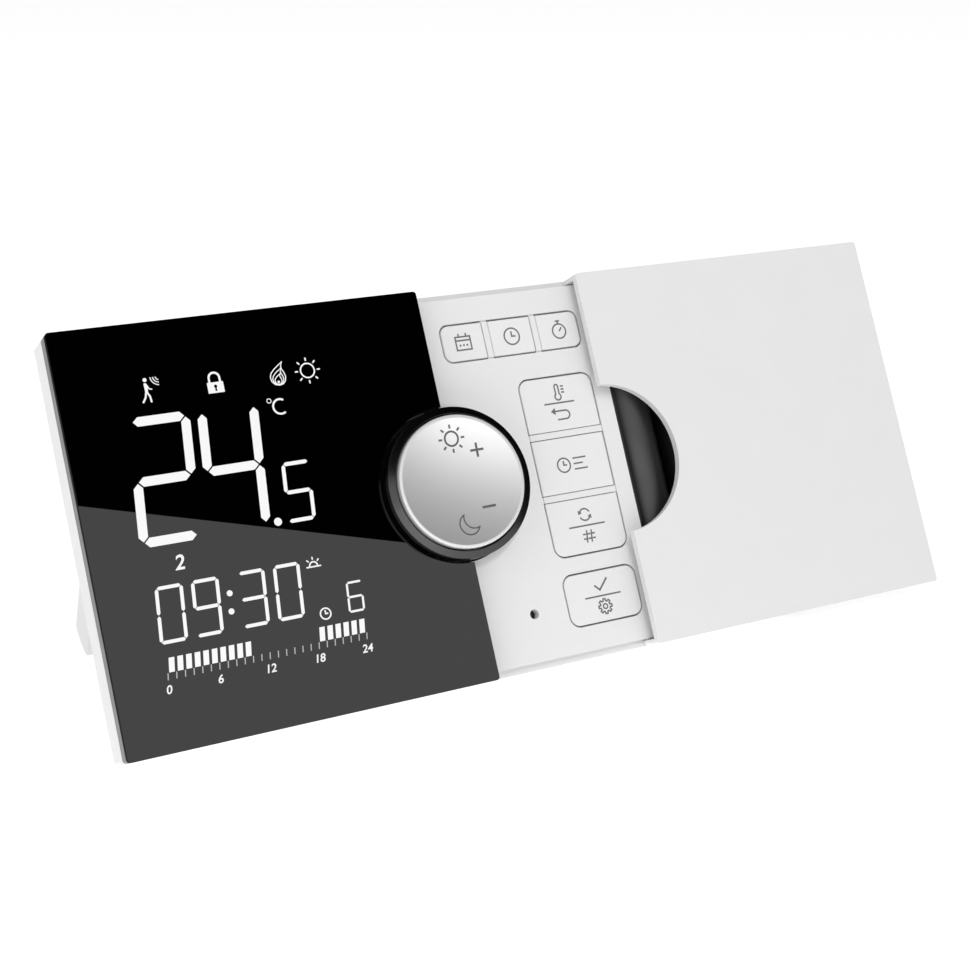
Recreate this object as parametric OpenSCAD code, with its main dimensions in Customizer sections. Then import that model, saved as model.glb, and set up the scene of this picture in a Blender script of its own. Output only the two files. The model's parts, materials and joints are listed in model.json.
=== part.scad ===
// Programmable room timer: a display window, a dial, a key deck under a sliding cover,
// and a fold-out stand that leans the case back on a desk.
// The parts are drawn flat and then leaned back: x runs right from the case's left side,
// y runs up from its bottom edge and z comes out of the front face, which is at zero.

/* [Body] */
// Width of the closed case
body_w = 150; // [146:1:156]
// Height of the case
body_h = 80; // [78:0.5:84]
// Depth from the front face to the joint between the two housings
front_d = 11.5; // [11:0.1:12.5]
// Depth from the front face to the back
body_d = 24.8; // [24:0.1:27]
// Angle that the face leans back on its stand
lean = 27.8; // [24:0.1:30]
// Wall thickness of the housings
wall = 2; // [1.6:0.1:2.2]
// How far the rear housing narrows at each side
side_taper = 3.6; // [2:0.1:4]

/* [Window] */
// Width of the display window
window_w = 75.2; // [74:0.1:76]
// Thickness of the window
glass_t = 1.2; // [0.8:0.1:1.5]
// Gap between the dial and the window's cut-out
dial_gap = 0.53; // [0.4:0.01:0.8]

/* [Deck] */
// Depth of the key deck below the front face
deck_drop = 4.2; // [4:0.1:4.5]
// Depth of the ledge that the cover's edges run above
ledge_drop = 6.4; // [6.2:0.1:6.6]
// Distance from the case's edge to the raised deck
rail_inset = 1.5; // [1.4:0.05:1.8]
// Radius of the pinhole above the reset button
pinhole_r = 1; // [0.8:0.05:1.1]

/* [Keys] */
// Gap between a key and the bar beside it
key_gap = 0.15; // [0.15:0.05:0.3]
// Gap around a group of keys
group_gap = 0.35; // [0.2:0.05:0.4]
// Travel of each key
key_travel = 0.5; // [0.3:0.05:0.5]

/* [Dial] */
// Position of the dial's centre from the left side
dial_x = 74.7; // [74.3:0.1:75]
// Position of the dial's centre above the bottom edge
dial_y = 39.8; // [39.5:0.1:40.5]
// Outer radius of the dial ring
dial_r = 15.4; // [15.2:0.05:15.5]
// Radius of the dial's centre cap
cap_r = 13.5; // [13.2:0.05:13.5]
// Height of the cap above the front face
cap_rise = 3.9; // [3.7:0.1:4.2]

/* [Cover] */
// Width of the sliding cover
cover_w = 74.5; // [74:0.1:74.5]
// Thickness of the cover
cover_t = 1.65; // [1.4:0.05:1.8]
// Distance that the cover slides
cover_travel = 37; // [30:0.5:37]

/* [Batteries] */
// Diameter of a cell
cell_d = 10.4; // [10.2:0.1:10.5]
// Length of a cell
cell_l = 44.5; // [44:0.1:44.5]

/* [Stand] */
// Angle between the folded and the open stand
stand_open = 56.5; // [52:0.5:57]
// Distance from the case's left side to the stand
stand_inset = 8; // [7:0.5:12]
// Length of the stand from its hinge to its foot
stand_l = 44.4; // [44:0.1:45]

/* [Hidden] */
$fn = 64;

// Overshoot of a cut past the face that it opens
cut = 1;
// Play between sliding or stacked parts that must not touch
play = 0.1;

// Levels along z
deck_z = -deck_drop;
ledge_z = -ledge_drop;
joint_z = -front_d;
back_z = -body_d;
plate_t = 2;
plate_z = deck_z - plate_t;
board_z = -8.6;
board_t = 1.6;
board_back = board_z - board_t;

// Case outline
case_corner = 0.7;
back_corner = 2;
hull_plate = 0.01;
hull_fn = 32;
curve_fn = 48;
front_wall = 2.2;
rail_wall = 4.5;
rail_floor = ledge_z - 1.2;
deck_end = body_w - 1.4;
end_taper = (body_d - front_d) * tan(lean);

// Window seat and liquid crystal panel
lcd_x = [5.2, 57];
lcd_y = [7.6, 72.4];
lcd_gap = 0.3;
lcd_t = 2.4;
guide_t = 2.5;
strip_w = 2.2;
strip_inset = 1;
lcd_back = -glass_t - 2 * play - lcd_t;
guide_margin = [2, 5];
guide_x = [lcd_x[0] + guide_margin[0], lcd_x[1] - guide_margin[0]];
guide_y = [lcd_y[0] + guide_margin[1], lcd_y[1] - guide_margin[1]];
guide_rim = 3;
strip_y = [lcd_y[0] + strip_inset, lcd_y[1] - strip_inset - strip_w];

// Main board as [left, bottom, right, top], and what is soldered to its back
board_box = [4.6, 6, 115.6, 74];
chip_box = [30, 36, 42, 48];
chip_t = 1.6;
leg_count = 9;
leg_l = 1;
leg_w = 0.4;
radio_box = [72, 56, 86, 72];
radio_t = 1;
can_box = [74, 58, 84, 67];
can_t = 1.6;
crystal_box = [46, 50, 50, 60];
crystal_t = 2.4;
crystal_r = 1.9;
capacitor_x = [40, 47, 54];
capacitor_y = 28;
capacitor_r = 2.5;
capacitor_l = 6;
bead_at = [12, 68];
bead_r = 1.2;
bead_drop = 4;
lead_r = 0.25;

// Dial
cutout_r = dial_r + dial_gap;
bore_r = 15.75;
collar_r = 17.1;
collar_z = -2.3;
ring_bevel = 0.5;
ring_rise = cap_rise - 0.8;
ring_in_r = 13.9;
ring_skirt_z = -3.5;
skirt_r = 14.2;
web_z = [-1, 0.9];
sleeve_r = 12.4;
sleeve_end = -6.6;
hub_r = 11;
hub_fit = 0.06;
hub_top = 0.8;
hub_flange = [13, 1.4];
cap_t = 2;
cap_chamfer = 0.35;
pin_r = 0.8;
pin_fit = 0.05;
pin_z = -1.2;
pin_half = 9;
boss = [6, 7];
boss_end = -3;
pocket_play = 0.7;
plunger_r = 1.2;
plunger_y = 8.5;
plunger_end = -7.9;
plunger_hole_r = 1.9;
hub_screw_x = 7.5;
hub_screw_l = board_t + 3.6;
hub_screw_depth = 4;
code_r = 15;
code_z = [-6.4, -5.6];
code_slots = 24;
code_rim = [1, 0.5];
slot_w = 1;
sensor_w = 3;
sensor_h = 5;
sensor_reach = 1.4;
sensor_gap = 0.4;

// Key groups as [left, bottom, right, top], and the bars that divide them
row_box = [80.26, 64.97, 113, 73.25];
column_box = [95.33, 21.25, 113.13, 59.65];
set_box = [95.45, 6.63, 113.13, 17.83];
row_corner = 2.1;
column_corner = 2.5;
group_groove = 0.35;
bar_w = 1.3;
row_step = (row_box[2] - row_box[0] + bar_w) / 3;
column_step = (column_box[3] - column_box[1] + bar_w) / 3;
key_face = deck_z + 0.05;
flange_out = 0.5;
flange_t = 0.7;
flange_z = plate_z - play;
stem_r = 1.6;
dome_r = 2.4;
dome_h = 0.4;
stem_end = board_z + dome_h + key_travel + play;

function row_key(i) = [
    row_box[0] + i * row_step, row_box[1],
    row_box[0] + (i + 1) * row_step - bar_w, row_box[3]
];
function column_key(i) = [
    column_box[0], column_box[3] - (i + 1) * column_step + bar_w,
    column_box[2], column_box[3] - i * column_step
];
function middle(box) = [(box[0] + box[2]) / 2, (box[1] + box[3]) / 2];

// The two groups that hold more than one key, as [box, corner radius]
key_groups = [[row_box, row_corner], [column_box, column_corner]];

// Every key as [own box, group box, group corner radius]
keys = [
    [row_key(0), row_box, row_corner],
    [row_key(1), row_box, row_corner],
    [row_key(2), row_box, row_corner],
    [column_key(0), column_box, column_corner],
    [column_key(1), column_box, column_corner],
    [column_key(2), column_box, column_corner],
    [set_box, set_box, column_corner]
];

// Reset button
pinhole = [87.8, 11.3];
reset_box = 4.6;
reset_top = -7.1;
reset_r = 1.2;
reset_fit = 0.08;
reset_depth = 0.35;
reset_button_z = [-8, -6.5];

// Cover
cover_open_x = window_w + 0.3 + cover_travel;
cover_edge = 1.15;
cover_skirt_z = ledge_z + play;
cover_end_wall = 1;
cover_arc_r = 15.8;
cover_arc_x = dial_x + cover_travel;
lip_z = [-6.2, -5.2];
lip_reach = 2.1;
lip_x = [cover_open_x + 0.5, body_w - 4];
groove_z = -5;
groove_depth = 2.4;
groove_x = [window_w, lip_x[1] + 0.2];

// Batteries
tray_wall = 0.8;
trough_r = cell_d / 2 + 0.2;
tray_x = [117, 117 + 2 * tray_wall + 4 * trough_r];
tray_y = [22.3, 72.8];
tray_rim = deck_z - 0.4;
cell_z = -5.1 - cell_d / 2;
cell_x = [tray_x[0] + tray_wall + trough_r, tray_x[1] - tray_wall - trough_r];
contact_t = 0.4;
contact_y = [tray_y[0] + tray_wall, tray_y[1] - tray_wall];
nub = [1.9, 1];
spring_r = 3.2;
spring_wire = 0.35;
spring_turns = 4;
spring_tie_r = 0.28;
cell_plate_w = 8;
cell_plate_z = [cell_z - 3.2, cell_z + 4];
wire_x = [108, tray_x[0] - 0.4];
wire_y = [tray_y[0] + 2, tray_y[1] - 4];
wire_r = 0.6;
wire_z = board_back - 0.7;

// Stand
hinge_y = 52.4;
hinge_z = back_z + 2.5;
stand_x = [stand_inset, body_w - stand_inset];
stand_t = 3;
barrel_r = 2.5;
stand_skin = 2;
stand_gap = 0.5;
recess_wall = 1.2;
heel_r = 1.2;
foot_root = -17.4;
foot_top = [-11.4, 8.3];
sole_bulge = [0.3, 3.8];
sole_edge = [-0.1, 8.8];
scoop_x = [-16.8, -14.8, -6.4, -13];
scoop_f = [6.5, 7.6];
stand_pin_r = 1;
stand_pin_l = 16;
lug_w = 5;
lug_x = [stand_x[0] + 20, stand_x[1] - 20];
lug_gap = 0.4;
lug_r = 2.2;
stand_pin_fit = 0.05;
pad_w = 14;
pad_d = 1.6;
pad_at = [0, 8.3];
pad_h = 1;
pad_inset = 18;
pad_proud = 0.2;

// Slots that let room air reach the temperature sensor
vent_count = 9;
vent_x = 20;
vent_step = 4;
vent_w = 1.6;
vent_z = [-20, -15];

// Screws
case_screw_at = [[60.8, 26], [60.8, 60], [92.4, 26], [92.4, 60]];
screw_r = 1;
screw_head_r = 1.9;
screw_head_h = 1.5;
boss_r = 1.95;
tube_r = 3.4;
tube_bore_r = 2.2;
tube_seat = 2;
drive_w = 0.5;
drive_depth = 0.7;
case_screw_l = tube_seat + board_t + 3;

// Where the leaned case stands: centred over its footprint, with its base on the floor
stand_f0 = back_z - hinge_z;
heel_s = stand_l - heel_r;
heel_f = stand_f0 + heel_r;
heel_y = hinge_y - heel_s * cos(stand_open) - heel_f * sin(stand_open);
heel_z = hinge_z - heel_s * sin(stand_open) + heel_f * cos(stand_open);
footprint_d = heel_y * sin(lean) - heel_z * cos(lean) + heel_r;
pad_s = stand_l + pad_at[0];
pad_f = stand_f0 + pad_at[1];
pad_up = hinge_y - pad_s * cos(stand_open) - pad_f * sin(stand_open);
pad_out = hinge_z - pad_s * sin(stand_open) + pad_f * cos(stand_open);
pad_y = pad_up * sin(lean) - pad_out * cos(lean) - footprint_d / 2;
full_w = cover_open_x + cover_w;

// ---- helpers ----

// Leans the flat-drawn parts back and stands them on the floor
module leaned() {
    translate([-full_w / 2, -footprint_d / 2, front_d * sin(lean)])
        rotate([90 - lean, 0, 0])
            children();
}

// A block between two opposite corners
module block(low, high) {
    translate(low)
        cube(high - low);
}

// A plate over a box given as [left, bottom, right, top]
module flat_box(box, z0, z1) {
    block([box[0], box[1], z0], [box[2], box[3], z1]);
}

// A box shrunk by inset on all four sides
function inset_box(box, inset) = [
    box[0] + inset, box[1] + inset, box[2] - inset, box[3] - inset
];

// A plate with rounded corners: box is [left, bottom, right, top]
module rounded_plate(box, z0, z1, r) {
    translate([0, 0, z0])
        linear_extrude(z1 - z0)
            union() {
                translate([box[0] + r, box[1]])
                    square([box[2] - box[0] - 2 * r, box[3] - box[1]]);
                translate([box[0], box[1] + r])
                    square([box[2] - box[0], box[3] - box[1] - 2 * r]);
                for (x = [box[0] + r, box[2] - r], y = [box[1] + r, box[3] - r])
                    translate([x, y])
                        circle(r);
            }
}

// A post along z
module post(x, y, z0, z1, r) {
    translate([x, y, z0])
        cylinder(h = z1 - z0, r = r);
}

// A shape turned about the dial's axis
module on_dial() {
    translate([dial_x, dial_y, 0])
        children();
}

// A rod along x
module rod(x0, x1, y, z, r) {
    translate([x0, y, z])
        rotate([0, 90, 0])
            cylinder(h = x1 - x0, r = r);
}

// A shape drawn in the stand's side view, run from x0 to x1: first axis down, second to the front
module side_run(x0, x1) {
    translate([x0, hinge_y, hinge_z])
        rotate([90, 0, 90])
            linear_extrude(x1 - x0)
                mirror([1, 0])
                    children();
}

// ---- front case ----

// Outline of one key or of its opening; the insets shrink its own box and its group's box
module key_shape(i, z0, z1, inset, group_inset) {
    own = keys[i][0];
    group = keys[i][1];
    r = keys[i][2];
    intersection() {
        rounded_plate(inset_box(group, group_inset), z0, z1, r - group_inset);
        flat_box(inset_box(own, inset), z0, z1);
    }
}

module front_shell() {
    rounded_plate([0, 0, body_w, body_h], joint_z, ledge_z, case_corner);
    intersection() {
        rounded_plate([0, 0, body_w, body_h], ledge_z - cut, deck_z, case_corner);
        block([-cut, -cut, ledge_z - cut], [window_w, body_h + cut, deck_z]);
    }
    block([window_w - cut, rail_inset, ledge_z - cut], [deck_end, body_h - rail_inset, deck_z]);
    difference() {
        post(dial_x, dial_y, deck_z - cut, collar_z, collar_r);
        block([0, 0, deck_z - 2 * cut], [window_w + play, body_h, 0]);
    }
}

module front_hollows() {
    block(
        [front_wall, front_wall, joint_z - cut],
        [body_w - front_wall, body_h - front_wall, rail_floor]
    );
    block([front_wall, rail_wall, rail_floor - cut],
        [deck_end - front_wall, body_h - rail_wall, plate_z]);
    block([lcd_x[0] - lcd_gap, lcd_y[0] - lcd_gap, plate_z - cut],
        [lcd_x[1] + lcd_gap, lcd_y[1] + lcd_gap, deck_z + cut]);
    block([tray_x[0], tray_y[0], plate_z - cut], [tray_x[1], tray_y[1], deck_z + cut]);
}

// A shallow groove that carries the outline of a group of keys across its dividing bars
module group_grooves() {
    for (group = key_groups)
        difference() {
            rounded_plate(group[0], deck_z - group_groove, deck_z + cut, group[1]);
            rounded_plate(inset_box(group[0], group_gap), deck_z - 2 * group_groove,
                deck_z + 2 * cut, group[1] - group_gap);
        }
}

module cover_grooves() {
    for (y = [[rail_inset - cut, groove_depth],
            [body_h - groove_depth, body_h - rail_inset + cut]])
        block([groove_x[0], y[0], ledge_z], [groove_x[1], y[1], groove_z]);
}

module front_housing() {
    color("white")
    leaned()
    difference() {
        union() {
            difference() {
                front_shell();
                front_hollows();
            }
            for (p = case_screw_at)
                post(p[0], p[1], board_z, plate_z + cut, boss_r);
        }
        cover_grooves();
        group_grooves();
        on_dial()
            translate([0, 0, plate_z - cut])
                cylinder(h = body_d, r = bore_r);
        for (i = [0:len(keys) - 1])
            key_shape(i, plate_z - cut, deck_z + cut, 0, 0);
        post(pinhole[0], pinhole[1], plate_z - cut, deck_z + cut, pinhole_r);
        for (p = case_screw_at)
            post(p[0], p[1], board_z - cut, deck_z - 1, screw_r);
    }
}

module dial_notch(z0, z1) {
    on_dial()
        translate([0, 0, z0 - cut])
            cylinder(h = z1 - z0 + 2 * cut, r = cutout_r);
}

module window_bezel() {
    color("gray")
    leaned()
    difference() {
        rounded_plate([0, 0, window_w, body_h], deck_z, -glass_t, case_corner);
        block([lcd_x[0] - lcd_gap, lcd_y[0] - lcd_gap, deck_z - cut],
            [lcd_x[1] + lcd_gap, lcd_y[1] + lcd_gap, 0]);
        dial_notch(deck_z, -glass_t);
    }
}

module display_window() {
    color("black")
    leaned()
    difference() {
        rounded_plate([0, 0, window_w, body_h], -glass_t, 0, case_corner);
        dial_notch(-glass_t, 0);
    }
}

// ---- display ----

module lcd_panel() {
    color("darkslategray")
    leaned()
    block([lcd_x[0], lcd_y[0], -glass_t - play - lcd_t], [lcd_x[1], lcd_y[1], -glass_t - play]);
}

module light_guide() {
    color("lightcyan")
    leaned()
    block([guide_x[0], guide_y[0], lcd_back - guide_t], [guide_x[1], guide_y[1], lcd_back]);
}

module lcd_carrier() {
    color("whitesmoke")
    leaned()
    difference() {
        block([lcd_x[0], lcd_y[0], board_z], [lcd_x[1], lcd_y[1], lcd_back]);
        block([guide_x[0] - play, guide_y[0] - play, lcd_back - guide_t - play],
            [guide_x[1] + play, guide_y[1] + play, 0]);
        block([guide_x[0] + guide_rim, guide_y[0] + guide_rim, board_z - cut],
            [guide_x[1] - guide_rim, guide_y[1] - guide_rim, 0]);
        for (y = strip_y)
            block([guide_x[0], y - play, board_z - cut],
                [guide_x[1], y + strip_w + play, 0]);
    }
}

module contact_strips() {
    color("dimgray")
    leaned()
    for (y = strip_y)
        block([guide_x[0] + play, y, board_z], [guide_x[1] - play, y + strip_w, lcd_back]);
}

// ---- main board ----

module main_board() {
    color("darkgreen")
    leaned()
    difference() {
        flat_box(board_box, board_back, board_z);
        for (p = case_screw_at)
            post(p[0], p[1], board_back - cut, board_z + cut, screw_r + play);
        for (side = [-1, 1])
            post(dial_x + side * hub_screw_x, dial_y, board_back - cut, board_z + cut,
                screw_r + play);
    }
}

module microcontroller() {
    leg_step = (chip_box[3] - chip_box[1]) / (leg_count + 1);
    color("black")
    leaned()
    union() {
        flat_box(chip_box, board_back - chip_t, board_back);
        for (i = [1:leg_count], x = [chip_box[0] - leg_l, chip_box[2]])
            block([x, chip_box[1] + i * leg_step - leg_w / 2, board_back - leg_w],
                [x + leg_l, chip_box[1] + i * leg_step + leg_w / 2, board_back]);
    }
}

module radio_module() {
    color("seagreen")
    leaned()
    union() {
        flat_box(radio_box, board_back - radio_t, board_back);
        flat_box(can_box, board_back - radio_t - can_t, board_back - radio_t);
    }
}

module crystal() {
    color("silver")
    leaned()
    rounded_plate(crystal_box, board_back - crystal_t, board_back, crystal_r);
}

module capacitors() {
    color("navy")
    leaned()
    for (x = capacitor_x)
        post(x, capacitor_y, board_back - capacitor_l, board_back, capacitor_r);
}

module temperature_sensor() {
    color("saddlebrown")
    leaned()
    union() {
        translate([bead_at[0], bead_at[1], board_back - bead_drop])
            sphere(bead_r);
        for (side = [-1, 1])
            post(bead_at[0] + side * bead_r / 2, bead_at[1], board_back - bead_drop, board_back,
                lead_r);
    }
}

module snap_domes() {
    color("silver")
    leaned()
    union() {
        for (i = [0:len(keys) - 1]) {
            c = middle(keys[i][0]);
            post(c[0], c[1], board_z, board_z + dome_h, dome_r);
        }
        for (side = [-1, 1])
            post(dial_x, dial_y + side * plunger_y, board_z, board_z + dome_h - play,
                plunger_hole_r - play);
    }
}

module reset_switch() {
    color("dimgray")
    leaned()
    difference() {
        block([pinhole[0] - reset_box / 2, pinhole[1] - reset_box / 2, board_z],
            [pinhole[0] + reset_box / 2, pinhole[1] + reset_box / 2, reset_top]);
        post(pinhole[0], pinhole[1], reset_button_z[0] - reset_depth, 0, reset_r + reset_fit);
    }
}

module reset_button() {
    color("black")
    leaned()
    post(pinhole[0], pinhole[1], reset_button_z[0], reset_button_z[1], reset_r);
}

// ---- dial ----

module dial_ring() {
    color("black")
    leaned()
    on_dial()
        rotate_extrude()
            polygon([
                [hub_r + hub_fit, sleeve_end], [sleeve_r, sleeve_end],
                [sleeve_r, web_z[0]], [skirt_r, web_z[0]],
                [skirt_r, ring_skirt_z], [dial_r, ring_skirt_z],
                [dial_r, ring_rise - ring_bevel], [ring_in_r, ring_rise],
                [ring_in_r, web_z[1]], [hub_r + hub_fit, web_z[1]]
            ]);
}

module dial_cap() {
    color("silver")
    leaned()
    on_dial()
        difference() {
            union() {
                rotate_extrude()
                    polygon([
                        [0, cap_rise - cap_t], [cap_r, cap_rise - cap_t],
                        [cap_r, cap_rise - cap_chamfer], [cap_r - cap_chamfer, cap_rise],
                        [0, cap_rise]
                    ]);
                block([-boss[0] / 2, -boss[1] / 2, boss_end],
                    [boss[0] / 2, boss[1] / 2, cap_rise - cap_t + cap_chamfer]);
                for (side = [-1, 1])
                    post(0, side * plunger_y, plunger_end, cap_rise - cap_t + cap_chamfer,
                        plunger_r);
            }
            rod(-boss[0], boss[0], 0, pin_z, pin_r + pin_fit);
        }
}

module dial_hub() {
    color("dimgray")
    leaned()
    on_dial()
        difference() {
            union() {
                post(0, 0, board_z, hub_top, hub_r);
                post(0, 0, board_z, board_z + hub_flange[1], hub_flange[0]);
            }
            block([-boss[0] / 2 - pocket_play, -boss[1] / 2 - pocket_play, boss_end - pocket_play],
                [boss[0] / 2 + pocket_play, boss[1] / 2 + pocket_play, cap_rise]);
            for (side = [-1, 1])
                post(0, side * plunger_y, board_z - cut, hub_top + cut, plunger_hole_r);
            rod(-pin_half, pin_half, 0, pin_z, pin_r);
            for (side = [-1, 1])
                post(side * hub_screw_x, 0, board_z - cut, board_z + hub_screw_depth, screw_r);
        }
}

module dial_pin() {
    color("silver")
    leaned()
    on_dial()
        rod(-pin_half, pin_half, 0, pin_z, pin_r);
}

// A cross-recessed screw that enters towards the front, with its head's seat at z
module screw(x, y, z, length) {
    difference() {
        union() {
            post(x, y, z, z + length, screw_r);
            post(x, y, z - screw_head_h, z, screw_head_r);
        }
        for (a = [0, 90])
            translate([x, y, z - screw_head_h])
                rotate([0, 0, a])
                    cube([2 * screw_head_r - 1, drive_w, 2 * drive_depth], center = true);
    }
}

module hub_screws() {
    color("silver")
    leaned()
    for (side = [-1, 1])
        screw(dial_x + side * hub_screw_x, dial_y, board_back, hub_screw_l);
}

module code_ring() {
    color("gray")
    leaned()
    on_dial()
        difference() {
            post(0, 0, code_z[0], code_z[1], code_r);
            post(0, 0, code_z[0] - cut, code_z[1] + cut, sleeve_r);
            for (i = [0:code_slots - 1])
                rotate([0, 0, i * 360 / code_slots])
                    block([sleeve_r + code_rim[0], -slot_w / 2, code_z[0] - cut],
                        [code_r - code_rim[1], slot_w / 2, code_z[1] + cut]);
        }
}

module dial_sensor() {
    right = dial_x - code_r + sensor_reach;
    top = code_z[0] - sensor_gap;
    color("dimgray")
    leaned()
    difference() {
        block([right - sensor_w, dial_y - sensor_h / 2, board_z],
            [right, dial_y + sensor_h / 2, top]);
        block([right - sensor_w + slot_w, dial_y - slot_w / 2, top - 2 * sensor_gap],
            [right - slot_w / 2, dial_y + slot_w / 2, 0]);
    }
}

// ---- keys ----

module key(i) {
    c = middle(keys[i][0]);
    leaned()
    union() {
        key_shape(i, flange_z - flange_t / 2, key_face, key_gap, group_gap);
        key_shape(i, flange_z - flange_t, flange_z, -flange_out, -flange_out);
        post(c[0], c[1], stem_end, flange_z - flange_t / 2, stem_r);
    }
}

module day_key() {
    color("white")
    key(0);
}

module hour_key() {
    color("white")
    key(1);
}

module minute_key() {
    color("white")
    key(2);
}

module temperature_key() {
    color("white")
    key(3);
}

module program_key() {
    color("white")
    key(4);
}

module mode_key() {
    color("white")
    key(5);
}

module set_key() {
    color("white")
    key(6);
}

// ---- batteries ----

// A half-round-bottomed trough for each cell, from z0 upwards
module troughs(x0, x1, y0, y1, r, top) {
    block([x0, y0, cell_z], [x1, y1, top]);
    for (x = cell_x)
        translate([x, y1, cell_z])
            rotate([90, 0, 0])
                cylinder(h = y1 - y0, r = r);
}

module battery_tray() {
    color("black")
    leaned()
    difference() {
        troughs(tray_x[0] + play, tray_x[1] - play, tray_y[0] + play, tray_y[1] - play,
            trough_r + tray_wall - play, tray_rim);
        troughs(tray_x[0] + tray_wall, tray_x[1] - tray_wall, contact_y[0], contact_y[1],
            trough_r, 0);
    }
}

// A cell that lies along y, with its raised contact at the end that the sign points to
module cell(x, sign) {
    tip = sign > 0 ? contact_y[1] - contact_t : contact_y[0] + contact_t;
    translate([x, tip, cell_z])
        rotate([sign > 0 ? 90 : -90, 0, 0])
            union() {
                cylinder(h = nub[1] + cut, r = nub[0]);
                translate([0, 0, nub[1]])
                    cylinder(h = cell_l - nub[1], d = cell_d);
            }
}

module cell_left() {
    color("dimgray")
    leaned()
    cell(cell_x[0], -1);
}

module cell_right() {
    color("dimgray")
    leaned()
    cell(cell_x[1], 1);
}

// A spring drawn as stacked rings between the end contact and the cell's flat end
module cell_spring(x, y0, y1) {
    step = (y1 - y0 - 2 * spring_wire) / (spring_turns - 1);
    for (i = [0:spring_turns - 1])
        translate([x, y0 + spring_wire + i * step, cell_z])
            rotate([90, 0, 0])
                rotate_extrude()
                    translate([spring_r, 0])
                        circle(spring_wire);
    for (a = [0, 180])
        rotate_about_cell(x, a)
            translate([spring_r, y0 + spring_wire, 0])
                rotate([-90, 0, 0])
                    cylinder(h = y1 - y0 - 2 * spring_wire, r = spring_tie_r);
}

module rotate_about_cell(x, angle) {
    translate([x, 0, cell_z])
        rotate([0, angle, 0])
            children();
}

module cell_springs() {
    color("silver")
    leaned()
    union() {
        cell_spring(cell_x[0], contact_y[0] + contact_t + cell_l,
            contact_y[1] - contact_t);
        cell_spring(cell_x[1], contact_y[0] + contact_t,
            contact_y[1] - contact_t - cell_l);
    }
}

module cell_plates() {
    color("silver")
    leaned()
    for (x = cell_x, y = [contact_y[0], contact_y[1] - contact_t])
        block([x - cell_plate_w / 2, y, cell_plate_z[0]],
            [x + cell_plate_w / 2, y + contact_t, cell_plate_z[1]]);
}

module battery_wires() {
    color("red")
    leaned()
    for (y = wire_y) {
        rod(wire_x[0], wire_x[1], y, wire_z, wire_r);
        post(wire_x[0], y, wire_z, board_back, wire_r);
        translate([wire_x[0], y, wire_z])
            sphere(wire_r);
    }
}

// ---- sliding cover ----

module sliding_cover() {
    x0 = cover_open_x;
    x1 = cover_open_x + cover_w;
    color("white")
    leaned()
    difference() {
        union() {
            difference() {
                rounded_plate([x0, 0, x1, body_h], cover_skirt_z, 0, case_corner);
                block([x0 - cut, cover_edge, cover_skirt_z - cut],
                    [x1 - cover_end_wall, body_h - cover_edge, -cover_t]);
            }
            for (y = [[cover_edge / 2, lip_reach], [body_h - lip_reach, body_h - cover_edge / 2]])
                block([lip_x[0], y[0], lip_z[0]], [lip_x[1], y[1], lip_z[1]]);
        }
        post(cover_arc_x, dial_y, -cover_t - cut, cut, cover_arc_r);
    }
}

// ---- rear case ----

// Outer body of the rear housing, shrunk by inset on every side but the open front
module tub(inset) {
    back = [side_taper, end_taper, body_w - side_taper, body_h - end_taper];
    hull() {
        rounded_plate(inset_box([0, 0, body_w, body_h], inset),
            joint_z - hull_plate, joint_z, case_corner, $fn = hull_fn);
        rounded_plate(inset_box(back, inset),
            back_z + inset, back_z + inset + hull_plate, back_corner, $fn = hull_fn);
    }
}

// Side view of the folded stand: down from the hinge, and to the front
module stand_outline() {
    offset(r = heel_r, $fn = curve_fn)
        offset(delta = -heel_r)
            polygon(concat(
                [[0, stand_f0]],
                [for (p = [[0, 0], sole_bulge, sole_edge, foot_top, [foot_root, stand_t]])
                    [stand_l + p[0], stand_f0 + p[1]]],
                [[0, stand_f0 + stand_t]]
            ));
}

module folded_stand_space(x0, x1, grow) {
    side_run(x0 - grow, x1 + grow)
        offset(delta = grow)
            union() {
                stand_outline();
                circle(barrel_r, $fn = curve_fn);
                translate([stand_l - heel_r, stand_f0])
                    square(heel_r);
            }
}

module rear_housing() {
    color("white")
    leaned()
    difference() {
        union() {
            difference() {
                tub(0);
                tub(wall);
                block([wall, wall, joint_z - wall], [body_w - wall, body_h - wall, 0]);
            }
            intersection() {
                union() {
                    tub(0);
                    block([front_wall + play, front_wall + play, joint_z - cut],
                        [body_w - front_wall - play, body_h - front_wall - play, board_back - play]);
                }
                folded_stand_space(stand_x[0], stand_x[1], stand_gap + recess_wall);
            }
            for (p = case_screw_at)
                post(p[0], p[1], back_z, board_back, tube_r);
        }
        difference() {
            folded_stand_space(stand_x[0], stand_x[1], stand_gap);
            for (x = lug_x)
                stand_lug(x);
        }
        for (x = lug_x)
            rod(x - stand_pin_l, x + stand_pin_l, hinge_y, hinge_z, stand_pin_r + stand_pin_fit);
        for (p = case_screw_at) {
            post(p[0], p[1], back_z - cut, board_back - tube_seat, tube_bore_r);
            post(p[0], p[1], back_z, board_back + cut, screw_r + play);
        }
        for (i = [0:vent_count - 1])
            block([vent_x + i * vent_step, body_h - end_taper - wall, vent_z[0]],
                [vent_x + i * vent_step + vent_w, body_h + cut, vent_z[1]]);
    }
}

// A lug on the rear housing that holds one hinge pin
module stand_lug(x) {
    rod(x - lug_w / 2, x + lug_w / 2, hinge_y, hinge_z, lug_r);
    block([x - lug_w / 2, hinge_y - lug_r, hinge_z],
        [x + lug_w / 2, hinge_y + lug_r, hinge_z + barrel_r + stand_gap + cut]);
}

module case_screws() {
    color("silver")
    leaned()
    for (p = case_screw_at)
        screw(p[0], p[1], board_back - tube_seat, case_screw_l);
}

// ---- stand ----

module opened() {
    translate([0, hinge_y, hinge_z])
        rotate([stand_open, 0, 0])
            translate([0, -hinge_y, -hinge_z])
                children();
}

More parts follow.
